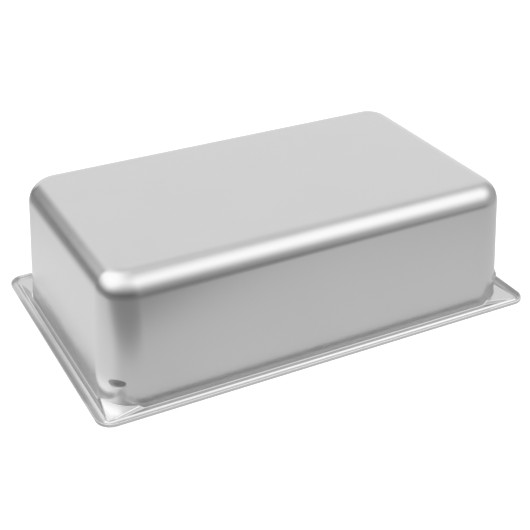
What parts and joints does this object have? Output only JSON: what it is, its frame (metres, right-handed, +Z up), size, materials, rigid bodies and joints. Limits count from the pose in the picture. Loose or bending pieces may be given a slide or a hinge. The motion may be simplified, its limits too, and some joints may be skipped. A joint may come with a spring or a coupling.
{
  "type": "steam table pan",
  "caption": "Deep rectangular steel food pan standing upside down, with leaning walls, rounded corners, a ridged flange with a lip, raised corner flats and stacking lugs.",
  "frame": {"origin": "centre of the rim plane, on which the upturned pan stands", "axes": "+X along the long side, +Y along the short side, +Z up from the mouth to the outside of the bottom; the mouth faces -Z"},
  "size_m": [0.53, 0.327, 0.1487],
  "materials": {
    "drawn_steel": "satin stainless steel, drawn and lightly polished",
    "rim_steel": "satin stainless steel, pressed smooth along the flange and lip"
  },
  "bodies": {
    "root": {"bottom_panel": "drawn_steel", "bottom_bend_front": "drawn_steel", "bottom_bend_back": "drawn_steel", "bottom_bend_left": "drawn_steel", "bottom_bend_right": "drawn_steel", "bottom_corner_front_left": "drawn_steel", "bottom_corner_front_right": "drawn_steel", "bottom_corner_back_left": "drawn_steel", "bottom_corner_back_right": "drawn_steel", "wall_front": "drawn_steel", "wall_back": "drawn_steel", "wall_left": "drawn_steel", "wall_right": "drawn_steel", "corner_post_front_left": "drawn_steel", "corner_post_front_right": "drawn_steel", "corner_post_back_left": "drawn_steel", "corner_post_back_right": "drawn_steel", "stacking_lug_front_left": "drawn_steel", "stacking_lug_front_right": "drawn_steel", "stacking_lug_back_left": "drawn_steel", "stacking_lug_back_right": "drawn_steel", "flange_front": "rim_steel", "flange_back": "rim_steel", "flange_left": "rim_steel", "flange_right": "rim_steel", "flange_corner_front_left": "rim_steel", "flange_corner_front_right": "rim_steel", "flange_corner_back_left": "rim_steel", "flange_corner_back_right": "rim_steel"}
  },
  "joints": []
}
